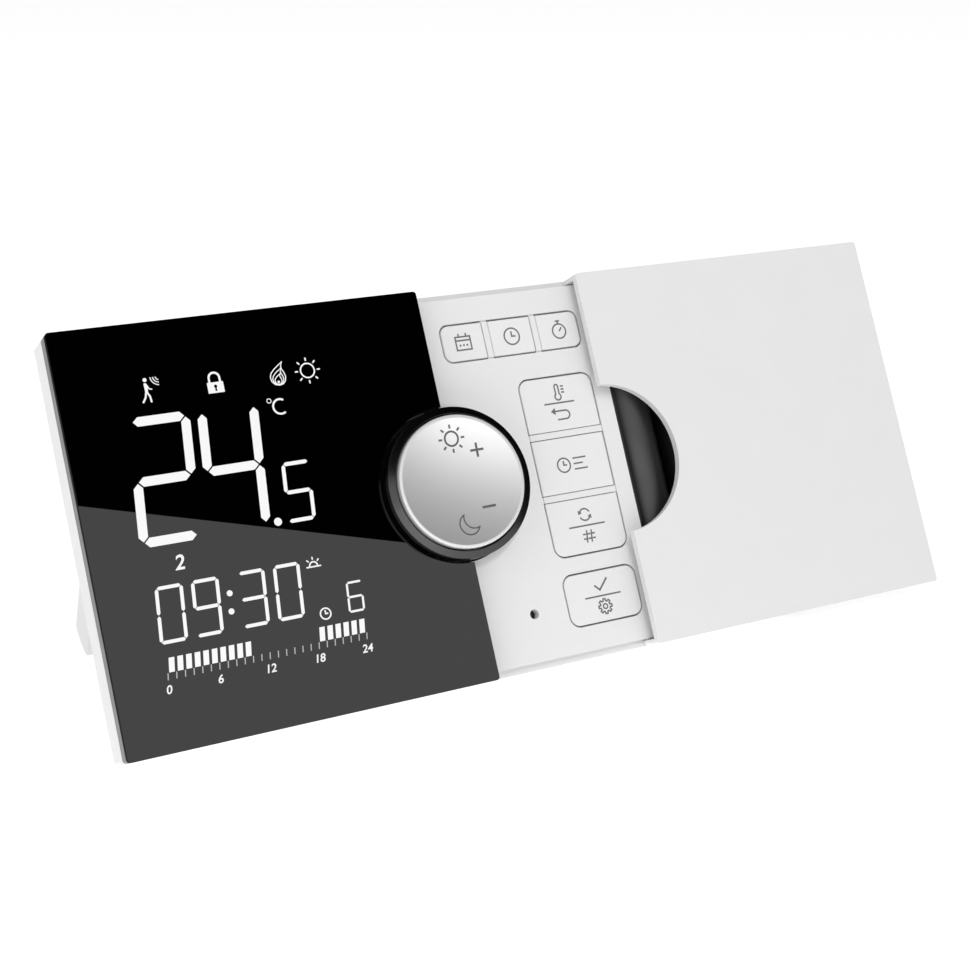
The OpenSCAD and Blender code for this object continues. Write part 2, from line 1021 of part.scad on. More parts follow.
// The two rubber pads where the stand's sole meets the floor
module pad_blocks(x_grow) {
    for (x = [stand_x[0] + pad_inset, stand_x[1] - pad_inset - pad_w])
        translate([-full_w / 2 + x - x_grow, pad_y - pad_d / 2 - x_grow, 0])
            cube([pad_w + 2 * x_grow, pad_d + 2 * x_grow, pad_h]);
}

module stand() {
    color("white")
    difference() {
        leaned()
        opened()
        difference() {
            union() {
                side_run(stand_x[0], stand_x[1])
                    stand_outline();
                rod(stand_x[0], stand_x[1], hinge_y, hinge_z, barrel_r);
            }
            side_run(stand_x[0] + stand_skin, stand_x[1] - stand_skin)
                intersection() {
                    offset(delta = -stand_skin)
                        stand_outline();
                    translate([stand_l + scoop_x[0] - stand_skin, stand_f0 + stand_skin])
                        square(stand_l);
                }
            side_run(stand_x[0] + stand_skin, stand_x[1] - stand_skin)
                polygon([
                    [stand_l + scoop_x[0], stand_f0 + stand_t + cut],
                    [stand_l + scoop_x[1], stand_f0 + stand_skin],
                    [stand_l + scoop_x[2], stand_f0 + stand_skin],
                    [stand_l + scoop_x[2], stand_f0 + scoop_f[0]],
                    [stand_l + scoop_x[3], stand_f0 + scoop_f[1]]
                ]);
            for (x = lug_x)
                block([x - lug_w / 2 - lug_gap, hinge_y - barrel_r - cut, hinge_z - barrel_r - cut],
                    [x + lug_w / 2 + lug_gap, hinge_y + barrel_r + cut, hinge_z + barrel_r + cut]);
            for (x = lug_x)
                rod(x - stand_pin_l / 2, x + stand_pin_l / 2, hinge_y, hinge_z, stand_pin_r);
        }
        translate([-full_w, -footprint_d, -body_h])
            cube([2 * full_w, 2 * footprint_d, body_h + pad_proud]);
        pad_blocks(0);
    }
}

module stand_pins() {
    color("silver")
    leaned()
    for (x = lug_x)
        rod(x - stand_pin_l / 2, x + stand_pin_l / 2, hinge_y, hinge_z, stand_pin_r);
}

module stand_pads() {
    color("dimgray")
    pad_blocks(0);
}

front_housing();
rear_housing();
window_bezel();
display_window();
lcd_panel();
light_guide();
lcd_carrier();
contact_strips();
main_board();
microcontroller();
radio_module();
crystal();
capacitors();
temperature_sensor();
snap_domes();
reset_switch();
reset_button();
dial_ring();
dial_cap();
dial_hub();
dial_pin();
hub_screws();
code_ring();
dial_sensor();
day_key();
hour_key();
minute_key();
temperature_key();
program_key();
mode_key();
set_key();
battery_tray();
cell_left();
cell_right();
cell_springs();
cell_plates();
battery_wires();
sliding_cover();
stand();
stand_pins();
stand_pads();
case_screws();
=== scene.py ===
"""Looks of the programmable timer: materials, printed marks, display segments, floor, light and camera."""

import json
import math

import bmesh
import bpy
from mathutils import Matrix, Vector


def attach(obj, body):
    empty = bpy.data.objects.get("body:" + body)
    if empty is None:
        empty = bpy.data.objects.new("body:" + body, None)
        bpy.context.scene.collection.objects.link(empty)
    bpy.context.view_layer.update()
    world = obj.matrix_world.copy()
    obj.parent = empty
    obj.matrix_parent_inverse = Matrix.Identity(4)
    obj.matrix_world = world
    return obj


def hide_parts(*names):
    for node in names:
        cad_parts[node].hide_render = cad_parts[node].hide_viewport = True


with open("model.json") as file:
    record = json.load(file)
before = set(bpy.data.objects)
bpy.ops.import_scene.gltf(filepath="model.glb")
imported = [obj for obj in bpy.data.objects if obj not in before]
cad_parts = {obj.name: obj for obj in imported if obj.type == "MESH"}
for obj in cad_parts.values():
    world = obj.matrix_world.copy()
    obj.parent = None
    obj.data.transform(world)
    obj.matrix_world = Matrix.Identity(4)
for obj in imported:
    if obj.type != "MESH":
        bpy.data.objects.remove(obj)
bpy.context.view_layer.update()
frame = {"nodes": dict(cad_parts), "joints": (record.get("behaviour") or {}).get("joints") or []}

# ---- the case's own directions: x right, y up its leaning face, z out of it, in millimetres ----

MM = 0.001
JOINTS = {joint["name"]: joint for joint in frame["joints"]}
RIGHT = Vector((1, 0, 0))
OUT = Vector(JOINTS["dial_turn"]["axis"]).normalized()
UP = OUT.cross(RIGHT)
TURN = Matrix((RIGHT, UP, OUT)).transposed().to_4x4()


def spans(node, to_case):
    """Lowest and highest corner of a CAD node in the case's directions, in millimetres."""
    points = [to_case @ v.co for v in frame["nodes"][node].data.vertices]
    low = Vector([min(p[i] for p in points) for i in range(3)])
    high = Vector([max(p[i] for p in points) for i in range(3)])
    return low, high


def case_matrix():
    """From the case's millimetres to the frame: zero is the window's lower left corner, on its face."""
    turned = TURN @ Matrix.Scale(MM, 4)
    low, high = spans("display_window", turned.inverted())
    corner = turned @ Vector((low.x, low.y, high.z))
    return Matrix.Translation(corner) @ turned


CASE = case_matrix()
TO_CASE = CASE.inverted()


def box_of(node):
    return spans(node, TO_CASE)


DIAL = TO_CASE @ Vector(JOINTS["dial_turn"]["pos_m"])

# ---- camera ----

# Place in metres, angles in degrees, and focal length in millimetres
CAMERA_AT = Vector((-0.16152, -0.30461, 0.15331))
CAMERA_TURN = 27.292
CAMERA_DROP = 19.273
CAMERA_LENS = 63.424


def make_camera():
    data = bpy.data.cameras.new("camera")
    data.lens = CAMERA_LENS
    data.sensor_width = 36
    data.clip_start = 0.01
    camera = bpy.data.objects.new("camera", data)
    camera.location = CAMERA_AT
    camera.rotation_euler = (math.radians(90 - CAMERA_DROP), 0, -math.radians(CAMERA_TURN))
    bpy.context.scene.collection.objects.link(camera)
    bpy.context.scene.camera = camera


# ---- node materials ----

# Smears on a wiped, polished face: how many to a metre, and how they are drawn out
SMEAR_SCALE = 45
SMEAR_STRETCH = (1, 0.35, 1)


def new_material(name):
    material = bpy.data.materials.new(name)
    material.use_nodes = True
    tree = material.node_tree
    return material, tree, tree.nodes["Principled BSDF"]


def noise(tree, scale, detail=2.0, stretch=(1, 1, 1)):
    """A noise texture in object space; scale is in features per metre."""
    place = tree.nodes.new("ShaderNodeTexCoord")
    mapping = tree.nodes.new("ShaderNodeMapping")
    mapping.inputs["Scale"].default_value = stretch
    texture = tree.nodes.new("ShaderNodeTexNoise")
    texture.inputs["Scale"].default_value = scale
    texture.inputs["Detail"].default_value = detail
    tree.links.new(place.outputs["Object"], mapping.inputs["Vector"])
    tree.links.new(mapping.outputs["Vector"], texture.inputs["Vector"])
    return texture.outputs["Fac"]


def spread(tree, value, low, high):
    """Maps a noise value onto the range from low to high."""
    node = tree.nodes.new("ShaderNodeMapRange")
    node.inputs["From Min"].default_value = 0.3
    node.inputs["From Max"].default_value = 0.7
    node.inputs["To Min"].default_value = low
    node.inputs["To Max"].default_value = high
    tree.links.new(value, node.inputs["Value"])
    return node.outputs["Result"]


def mottle(tree, shader, colour, scale, change):
    """Varies the base colour a little, from darker to lighter by the share given."""
    mix = tree.nodes.new("ShaderNodeMix")
    mix.data_type = "RGBA"
    mix.inputs["A"].default_value = [c * (1 - change) for c in colour] + [1]
    mix.inputs["B"].default_value = [min(1, c * (1 + change)) for c in colour] + [1]
    tree.links.new(noise(tree, scale), mix.inputs["Factor"])
    tree.links.new(mix.outputs["Result"], shader.inputs["Base Color"])


def grain(tree, shader, scale, depth):
    """A fine surface texture; depth is in metres."""
    bump = tree.nodes.new("ShaderNodeBump")
    bump.inputs["Distance"].default_value = depth
    bump.inputs["Strength"].default_value = 1.0
    tree.links.new(noise(tree, scale, 3.0), bump.inputs["Height"])
    tree.links.new(bump.outputs["Normal"], shader.inputs["Normal"])


def moulded(name, colour, rough, grain_scale=5000, grain_depth=0.000004, change=0.012):
    """Moulded plastic: a fine spark-eroded grain, and faint changes of colour and gloss."""
    material, tree, shader = new_material(name)
    mottle(tree, shader, colour, 90, change)
    gloss = spread(tree, noise(tree, 260, 3.0), rough - 0.04, rough + 0.04)
    tree.links.new(gloss, shader.inputs["Roughness"])
    grain(tree, shader, grain_scale, grain_depth)
    return material


def polished(name, colour, rough, ior=1.5):
    """A polished skin with faint smears that change its gloss."""
    material, tree, shader = new_material(name)
    mottle(tree, shader, colour, 60, 0.1)
    gloss = spread(tree, noise(tree, SMEAR_SCALE, 4.0, SMEAR_STRETCH), rough, rough * 1.8)
    tree.links.new(gloss, shader.inputs["Roughness"])
    shader.inputs["IOR"].default_value = ior
    grain(tree, shader, 900, 0.0000008)
    return material


def window_glass(name):
    """The clear polished face of black-backed glass."""
    material, tree, shader = new_material(name)
    mottle(tree, shader, (0.0003, 0.0003, 0.00035), 60, 0.1)
    shader.inputs["IOR"].default_value = 1.55
    smear = spread(tree, noise(tree, SMEAR_SCALE, 4.0, SMEAR_STRETCH), 0.003, 0.008)
    tree.links.new(smear, shader.inputs["Roughness"])
    return material


def ground_edge(name):
    """The ground and blackened edge of the glass, which hardly shines."""
    material, tree, shader = new_material(name)
    mottle(tree, shader, (0.004, 0.004, 0.0045), 1500, 0.2)
    gloss = spread(tree, noise(tree, 4000), 0.75, 0.95)
    tree.links.new(gloss, shader.inputs["Roughness"])
    shader.inputs["Specular IOR Level"].default_value = 0.05
    grain(tree, shader, 6000, 0.000006)
    return material


def satin(name, colour, rough, metallic):
    """Satin metallic lacquer: an even sheen with a very fine flake."""
    material, tree, shader = new_material(name)
    shader.inputs["Metallic"].default_value = metallic
    mottle(tree, shader, colour, 6000, 0.02)
    gloss = spread(tree, noise(tree, 6000), rough - 0.01, rough + 0.01)
    tree.links.new(gloss, shader.inputs["Roughness"])
    grain(tree, shader, 12000, 0.0000004)
    return material


def metal(name, colour, rough):
    """Plated metal with fine marks."""
    material, tree, shader = new_material(name)
    shader.inputs["Metallic"].default_value = 1
    mottle(tree, shader, colour, 400, 0.03)
    gloss = spread(tree, noise(tree, 700, 3.0), rough - 0.05, rough + 0.05)
    tree.links.new(gloss, shader.inputs["Roughness"])
    grain(tree, shader, 3000, 0.000003)
    return material


def printed(name, colour):
    """Screen-printed ink, a little uneven."""
    material, tree, shader = new_material(name)
    mottle(tree, shader, colour, 1500, 0.06)
    gloss = spread(tree, noise(tree, 2500), 0.45, 0.55)
    tree.links.new(gloss, shader.inputs["Roughness"])
    return material


def lit(name, colour, strength):
    """A display segment lit from behind, a little uneven."""
    material, tree, shader = new_material(name)
    mottle(tree, shader, [c * 0.15 for c in colour], 700, 0.02)
    shader.inputs["Roughness"].default_value = 0.3
    shader.inputs["Emission Color"].default_value = list(colour) + [1]
    shader.inputs["Emission Strength"].default_value = strength
    return material


WHITE = (0.845, 0.845, 0.845)
MATERIALS = {
    "case": moulded("case_plastic", WHITE, 0.42),
    "case_back": moulded("textured_plastic", (0.81, 0.81, 0.81), 0.55, 2600, 0.00002),
    "cover": moulded("cover_plastic", (0.82, 0.82, 0.82), 0.36, 5000, 0.000003),
    "key": moulded("key_plastic", (0.855, 0.855, 0.855), 0.5, 5000, 0.000006),
    "glass": window_glass("black_glass"),
    "glass_edge": ground_edge("black_glass_edge"),
    "bezel": moulded("bezel_plastic", (0.13, 0.13, 0.135), 0.4),
    "ring": polished("dial_ring_plastic", (0.002, 0.002, 0.0022), 0.15, 1.7),
    "cap": satin("satin_silver", (0.9, 0.9, 0.9), 0.32, 0.78),
    "cap_rim": satin("rim_silver", (0.76, 0.76, 0.76), 0.4, 0.25),
    "display": polished("display_glass", (0.03, 0.035, 0.04), 0.1),
    "guide": polished("light_guide_acrylic", (0.7, 0.78, 0.82), 0.15),
    "inner": moulded("inner_plastic", (0.6, 0.6, 0.6), 0.5),
    "rubber": moulded("rubber", (0.09, 0.09, 0.09), 0.8, 2500, 0.00002, 0.1),
    "pad": moulded("pad_rubber", (0.16, 0.16, 0.16), 0.85, 2500, 0.00003, 0.1),
    "board": polished("solder_mask", (0.02, 0.14, 0.05), 0.25),
    "chip": moulded("chip_epoxy", (0.02, 0.02, 0.02), 0.6, 6000, 0.00001),
    "steel": metal("plated_steel", (0.62, 0.62, 0.62), 0.3),
    "tray": moulded("tray_plastic", (0.012, 0.012, 0.013), 0.45, 3000, 0.000012),
    "cell": polished("cell_sleeve", (0.012, 0.012, 0.013), 0.4, 1.85),
    # Painted shade: the right cell's sleeve is near black and duller than the left's, so it shows no sheen
    # where the cover shades that side of the bay
    "cell_painted_shade": polished("cell_sleeve_painted_shade", (0.003, 0.003, 0.003), 0.5, 1.25),
    "wire": moulded("wire_sleeve", (0.5, 0.02, 0.02), 0.5),
    "segment": lit("lit_segment", (0.95, 0.95, 0.95), 0.82),
    "segment_dim": lit("dim_segment", (0.6, 0.6, 0.6), 0.6),
    "key_print": printed("key_print", (0.15, 0.15, 0.155)),
    "cap_print": printed("cap_print", (0.1, 0.1, 0.105)),
}

KEYS = ["day_key", "hour_key", "minute_key", "temperature_key", "program_key", "mode_key", "set_key"]
LOOKS = {
    "case": ["front_housing"],
    "case_back": ["rear_housing", "stand"],
    "cover": ["sliding_cover"],
    "key": KEYS,
    "glass": ["display_window"],
    "bezel": ["window_bezel"],
    "ring": ["dial_ring"],
    "cap": ["dial_cap"],
    "display": ["lcd_panel"],
    "guide": ["light_guide"],
    "inner": ["lcd_carrier", "dial_hub", "code_ring"],
    "rubber": ["contact_strips"],
    "pad": ["stand_pads"],
    "board": ["main_board", "radio_module"],
    "chip": ["microcontroller", "capacitors", "temperature_sensor", "reset_switch", "reset_button",
             "dial_sensor"],
    "steel": ["crystal", "snap_domes", "dial_pin", "hub_screws", "cell_springs", "cell_plates",
              "stand_pins", "case_screws"],
    "tray": ["battery_tray"],
    "cell": ["cell_left"],
    # The right cell wears the near-black sleeve: painted shade under the cover, not a different battery
    "cell_painted_shade": ["cell_right"],
    "wire": ["battery_wires"],
}

# A face of the window is part of its edge if its normal has less than this share along OUT
EDGE_FACING = 0.5
# What the modifiers that round an edge go by: metres, and the rest in degrees
WELD_REACH = 0.000002
FLAT_ANGLE = 0.3
EDGE_ANGLE = 32
# Edge radius of each visible CAD node, in millimetres
EDGES = {
    "front_housing": 0.25, "rear_housing": 0.4, "sliding_cover": 0.22, "stand": 0.3,
    "display_window": 0.05, "window_bezel": 0.1, "dial_ring": 0.12, "battery_tray": 0.15,
}
KEY_EDGE = 0.22


def dress():
    """Gives every CAD node its material."""
    for look, nodes in LOOKS.items():
        for node in nodes:
            mesh = frame["nodes"][node].data
            mesh.materials.clear()
            mesh.materials.append(MATERIALS[look])
    window = frame["nodes"]["display_window"].data
    window.materials.append(MATERIALS["glass_edge"])
    for polygon in window.polygons:
        if polygon.normal.dot(OUT) < EDGE_FACING:
            polygon.material_index = 1


def soften(node, radius):
    """Rounds a CAD node's edges by modifiers, which leave its own mesh as it is."""
    obj = frame["nodes"][node]
    normals = obj.data.attributes.get("custom_normal")
    if normals:
        obj.data.attributes.remove(normals)
    for polygon in obj.data.polygons:
        polygon.use_smooth = True
    weld = obj.modifiers.new("weld", "WELD")
    weld.merge_threshold = WELD_REACH
    flat = obj.modifiers.new("flat", "DECIMATE")
    flat.decimate_type = "DISSOLVE"
    flat.angle_limit = math.radians(FLAT_ANGLE)
    bevel = obj.modifiers.new("bevel", "BEVEL")
    bevel.limit_method = "ANGLE"
    bevel.angle_limit = math.radians(EDGE_ANGLE)
    bevel.width = radius * MM
    bevel.segments = 3
    bevel.harden_normals = True


# ---- stage ----

FLOOR_REACH = 6.0
FLOOR_GLOW = 0.45
WORLD_LIGHT = 0.55
# Three cards in front of the case, in millimetres in its own directions; only reflections see them.
# The top one is dark, the middle one is bright, and the lowest, past what the window mirrors, is brighter.
CARD_OUT = 1500
DARK_SPAN = [-1600, 1900]
DARK_TOP = 4200
BRIGHT_SPAN = [-1600, 980]
BRIGHT_GLOW = 1.27
HOT_LOW = -780
HOT_TOP = -30
HOT_GLOW = 2.05
# Where the edge between the dark and the bright card shows in the window
CARD_EDGE = [(0.3, 47.3, 0), (63.6, 29.5, 0)]
# Black cards above and to the right of the object, as [left, front, low, right, back, high] in metres
DARK_ROOF = [-0.6, -1.6, 2.2, 3.2, 2.4, 2.2]
DARK_SIDE = [2.2, -1.8, 0.0, 2.2, 2.0, 2.2]
# Lamps that reflections don't see, as name: [place, width, watts], and what they are aimed at
LAMPS = {
    "key_light": [(-0.15, -1.25, 1.5), 0.9, 8.8],
    "fill_light": [(-1.2, -0.8, 0.9), 1.2, 3.5],
}
LAMP_TARGET = (0, 0, 0.03)


def add_object(name, mesh):
    obj = bpy.data.objects.new(name, mesh)
    bpy.context.scene.collection.objects.link(obj)
    return obj


def make_floor():
    mesh = bpy.data.meshes.new("floor")
    corners = [(-FLOOR_REACH, -FLOOR_REACH, 0), (FLOOR_REACH, -FLOOR_REACH, 0),
               (FLOOR_REACH, FLOOR_REACH, 0), (-FLOOR_REACH, FLOOR_REACH, 0)]
    mesh.from_pydata(corners, [], [(0, 1, 2, 3)])
    material, tree, shader = new_material("floor_paint")
    mottle(tree, shader, (0.93, 0.93, 0.93), 3, 0.004)
    shader.inputs["Roughness"].default_value = 0.9
    shader.inputs["Specular IOR Level"].default_value = 0.1
    shader.inputs["Emission Color"].default_value = (1, 1, 1, 1)
    shader.inputs["Emission Strength"].default_value = FLOOR_GLOW
    mesh.materials.append(material)
    add_object("floor", mesh)


def make_world():
    world = bpy.data.worlds.new("world")
    world.use_nodes = True
    background = world.node_tree.nodes["Background"]
    background.inputs["Color"].default_value = (1, 1, 1, 1)
    background.inputs["Strength"].default_value = WORLD_LIGHT
    bpy.context.scene.world = world


def make_softbox(name, place, size, power):
    data = bpy.data.lights.new(name, "AREA")
    data.shape = "SQUARE"
    data.size = size
    data.energy = power
    light = add_object(name, data)
    light.location = place
    light.rotation_euler = (Vector(LAMP_TARGET) - Vector(place)).to_track_quat("-Z", "Y").to_euler()
    light.visible_glossy = False


def make_card(name, corners, glow):
    """A flat card that only reflections see, black or shining."""
    mesh = bpy.data.meshes.new(name)
    mesh.from_pydata(corners, [], [(0, 1, 2, 3)])
    material, _, shader = new_material(name + "_cloth")
    shader.inputs["Base Color"].default_value = (0, 0, 0, 1)
    shader.inputs["Specular IOR Level"].default_value = 0
    shader.inputs["Emission Color"].default_value = (1, 1, 1, 1)
    shader.inputs["Emission Strength"].default_value = glow
    mesh.materials.append(material)
    card = add_object(name, mesh)
    card.visible_camera = False
    card.visible_diffuse = False
    card.visible_shadow = False
    card.visible_transmission = False


def make_cards():
    """The dark and the bright card meet on a slanting line that the window mirrors."""
    eye = TO_CASE @ CAMERA_AT
    mirrored = Vector((eye.x, eye.y, -eye.z))
    ends = []
    for point in CARD_EDGE:
        ray = Vector(point) - mirrored
        ends.append(mirrored + ray * (CARD_OUT - mirrored.z) / ray.z)
    slope = (ends[1].y - ends[0].y) / (ends[1].x - ends[0].x)

    def slant(span):
        return [Vector((x, ends[0].y + slope * (x - ends[0].x), CARD_OUT)) for x in span]

    def level(span, y):
        return [Vector((x, y, CARD_OUT)) for x in span]

    for name, near, far, glow in (
            ("dark_card", slant(DARK_SPAN), level(DARK_SPAN, DARK_TOP), 0),
            ("bright_card", slant(BRIGHT_SPAN), level(BRIGHT_SPAN, HOT_TOP), BRIGHT_GLOW),
            ("hot_card", level(BRIGHT_SPAN, HOT_TOP), level(BRIGHT_SPAN, HOT_LOW), HOT_GLOW)):
        make_card(name, [CASE @ corner for corner in near + far[::-1]], glow)
    x0, y0, z0, x1, y1, z1 = DARK_ROOF
    make_card("dark_roof", [(x0, y0, z0), (x1, y0, z0), (x1, y1, z1), (x0, y1, z1)], 0)
    x0, y0, z0, x1, y1, z1 = DARK_SIDE
    make_card("dark_side", [(x0, y0, z0), (x1, y1, z0), (x1, y1, z1), (x0, y0, z1)], 0)


# ---- thin printed shapes ----

# Thickness of a printed mark
PRINT_RISE = 0.03


class Print:
    """Collects flat shapes in the case's millimetres and makes them into one thin piece."""

    def __init__(self, name, level, rise=PRINT_RISE):
        self.name = name
        self.low = level
        self.high = level + rise
        self.mesh = bmesh.new()

    def prism(self, outline):
        """A closed outline, filled."""
        ends = [[self.mesh.verts.new((p[0], p[1], z)) for p in outline] for z in (self.low, self.high)]
        self.mesh.faces.new(list(reversed(ends[0])))
        self.mesh.faces.new(ends[1])
        for i in range(len(outline)):
            k = (i + 1) % len(outline)
            self.mesh.faces.new((ends[0][i], ends[0][k], ends[1][k], ends[1][i]))

    def ribbon(self, points, width, closed=False):
        """A stroke of even width along a line."""
        count = len(points)
        sides = []
        for i, point in enumerate(points):
            before = points[i - 1] if closed or i else points[i]
            after = points[(i + 1) % count] if closed or i < count - 1 else points[i]
            sides.append(offsets(point, before, after, width / 2))
        rows = []
        for left, right in sides:
            rows.append([self.mesh.verts.new((p[0], p[1], z))
                         for p, z in ((left, self.low), (right, self.low),
                                      (right, self.high), (left, self.high))])
        for i in range(count if closed else count - 1):
            a, b = rows[i], rows[(i + 1) % count]
            for k in range(4):
                j = (k + 1) % 4
                self.mesh.faces.new((a[k], a[j], b[j], b[k]))
        if not closed:
            self.mesh.faces.new(list(reversed(rows[0])))
            self.mesh.faces.new(rows[-1])

    def pierced(self, outer, inner):
        """A filled outline with a hole; both outlines have the same number of points."""
        count = len(outer)
        rows = [[self.mesh.verts.new((p[0], p[1], z)) for p, z in ((o, self.low), (i, self.low),
                                                                 (i, self.high), (o, self.high))]
                for o, i in zip(outer, inner)]
        for i in range(count):
            a, b = rows[i], rows[(i + 1) % count]
            for k in range(4):
                j = (k + 1) % 4
                self.mesh.faces.new((a[k], a[j], b[j], b[k]))

    def ring(self, x, y, radius, width):
        self.ribbon(arc(x, y, radius, 0, 360, 40)[:-1], width, closed=True)

    def disc(self, x, y, radius):
        self.prism(arc(x, y, radius, 0, 360, 32)[:-1])

    def line(self, x0, y0, x1, y1, width):
        self.ribbon([(x0, y0), (x1, y1)], width)

    def piece(self, material, body):
        """Makes the mesh into an object that rides on a body."""
        bmesh.ops.recalc_face_normals(self.mesh, faces=self.mesh.faces)
        self.mesh.transform(CASE)
        data = bpy.data.meshes.new(self.name)
        self.mesh.to_mesh(data)
        self.mesh.free()
        data.materials.append(MATERIALS[material])
        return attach(add_object(self.name, data), body)


def offsets(point, before, after, half):
    """Left and right of a point on a line, mitred between its two neighbours."""
    p, a, b = Vector(point[:2]), Vector(before[:2]), Vector(after[:2])
    first = (p - a).normalized() if (p - a).length else (b - p).normalized()
    second = (b - p).normalized() if (b - p).length else first
    tangent = (first + second).normalized()
    normal = Vector((-tangent.y, tangent.x))
    share = max(0.4, normal.dot(Vector((-first.y, first.x))))
    return p + normal * half / share, p - normal * half / share


def arc(x, y, radius, start, end, steps):
    """Points along an arc, both ends included; angles in degrees."""
    turns = [math.radians(start + (end - start) * i / steps) for i in range(steps + 1)]
    return [(x + radius * math.cos(t), y + radius * math.sin(t)) for t in turns]


# ---- display ----

SEGMENTS = {
    "0": "abcdef", "2": "abged", "3": "abgcd", "4": "fgbc", "5": "afgcd", "6": "afgedc", "9": "abcdfg",
}
# How far a digit leans to the right for each millimetre of height
SLANT = 0.095
# Height of the display's marks above the window's face
SCREEN_LEVEL = 0.01


def segment_outline(which, width, height, stroke):
    """A pointed bar of a seven-segment digit, upright, from the digit's lower left corner."""
    half = height / 2
    ends = {
        "a": ((0, height), (width, height)), "g": ((0, half), (width, half)),
        "d": ((0, 0), (width, 0)), "f": ((0, half), (0, height)), "b": ((width, half), (width, height)),
        "e": ((0, 0), (0, half)), "c": ((width, 0), (width, half)),
    }
    start, end = (Vector(p) for p in ends[which])
    along = (end - start).normalized()
    side = Vector((-along.y, along.x)) * stroke / 2
    gap = along * stroke * 0.12
    tip = along * stroke / 2
    start, end = start + gap, end - gap
    return [start, start + tip - side, end - tip - side, end, end - tip + side, start + tip + side]


def digit(sheet, figure, x, y, width, height, stroke):
    for which in SEGMENTS[figure]:
        outline = segment_outline(which, width, height, stroke)
        sheet.prism([(x + p.x + p.y * SLANT, y + p.y) for p in outline])


def numeral(text, x, y, size):
    """A number on the display, round a middle point, made from the built-in typeface."""
    curve = bpy.data.curves.new("numeral", "FONT")
    curve.body = text
    curve.shear = 0.2
    curve.offset = 0.015
    curve.extrude = 0.5 * PRINT_RISE / size
    curve.align_x = "CENTER"
    curve.align_y = "CENTER"
    holder = bpy.data.objects.new("numeral", curve)
    mesh = bpy.data.meshes.new_from_object(holder)
    bpy.data.objects.remove(holder)
    mesh.transform(Matrix.Scale(size, 4))
    mesh.transform(Matrix.Translation((x, y, SCREEN_LEVEL + PRINT_RISE / 2)))
    mesh.transform(CASE)
    mesh.materials.clear()
    mesh.materials.append(MATERIALS["segment"])
    return mesh


def join_meshes(name, meshes, body):
    """Several meshes as one piece that rides on a body."""
    joined = bmesh.new()
    for mesh in meshes:
        joined.from_mesh(mesh)
    data = bpy.data.meshes.new(name)
    joined.to_mesh(data)
    joined.free()
    data.materials.append(meshes[0].materials[0])
    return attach(add_object(name, data), body)


# Sizes of the digits: whole degrees, tenths, the time, and the small figure below
BIG = {"width": 10.3, "height": 22.6, "stroke": 1.78}
SMALL = {"width": 5.07, "height": 11.0, "stroke": 0.74}
CLOCK = {"width": 4.68, "height": 9.95, "stroke": 0.66}
TINY = {"width": 2.95, "height": 5.55, "stroke": 0.42}
CLOCK_BASE = 20.0
BAR_LEFT = 10.5
BAR_STEP = 1.643
BAR_WIDTH = 1.07
BAR_BASE = 14.5
BAR_TOP = 17.15
TICK_BASE = 13.15
TICK_TOP = 14.4
TICK_WIDTH = 0.2
# The numbers below the bars, one to every six hours
SCALE_LEFT = 9.8
SCALE_STEP = 9.83
SCALE_LEVEL = 11.35
SCALE_SIZE = 2.2
# Hours of the day whose bars are lit
LIT_HOURS = list(range(0, 10)) + list(range(18, 24))


def make_temperature():
    sheet = Print("display_temperature", SCREEN_LEVEL)
    digit(sheet, "2", 10.57, 38.6, **BIG)
    digit(sheet, "4", 24.08, 38.6, **BIG)
    digit(sheet, "5", 38.95, 38.1, **SMALL)
    sheet.disc(36.7, 38.4, 0.78)
    sheet.ring(39.85, 61.75, 0.42, 0.16)
    sheet.ribbon(arc(41.9, 60.4, 1.45, 55, 305, 24), 0.38)
    sheet.piece("segment", "case")


def make_clock():
    sheet = Print("display_clock", SCREEN_LEVEL)
    for figure, x in (("0", 10.2), ("9", 17.1), ("3", 26.15), ("0", 33.2)):
        digit(sheet, figure, x, CLOCK_BASE, **CLOCK)
    sheet.disc(24.6, 26.7, 0.57)
    sheet.disc(24.25, 23.3, 0.57)
    digit(sheet, "6", 47.2, 18.9, **TINY)
    sheet.piece("segment", "case")


def make_day_bars():
    sheet = Print("display_day_bars", SCREEN_LEVEL)
    lean = (BAR_TOP - BAR_BASE) * SLANT * 1.6
    for hour in LIT_HOURS:
        x = BAR_LEFT + hour * BAR_STEP
        sheet.prism([(x, BAR_BASE), (x + BAR_WIDTH, BAR_BASE),
                     (x + BAR_WIDTH + lean, BAR_TOP), (x + lean, BAR_TOP)])
    sheet.piece("segment", "case")
    ticks = Print("display_ticks", SCREEN_LEVEL)
    for hour in range(25):
        x = BAR_LEFT - 0.45 + hour * BAR_STEP
        ticks.line(x, TICK_BASE, x + TICK_WIDTH, TICK_TOP, TICK_WIDTH)
    ticks.piece("segment_dim", "case")
    scale = [numeral(str(6 * i), SCALE_LEFT + SCALE_STEP * i, SCALE_LEVEL, SCALE_SIZE) for i in range(5)]
    join_meshes("display_scale", scale, "case")
    join_meshes("display_day", [numeral("2", 16.3, 33.9, 3.9)], "case")


def sun(sheet, x, y, radius, inner, outer, width):
    sheet.ring(x, y, radius, width)
    for i in range(8):
        turn = math.radians(45 * i)
        sheet.line(x + inner * math.cos(turn), y + inner * math.sin(turn),
                   x + outer * math.cos(turn), y + outer * math.sin(turn), width)


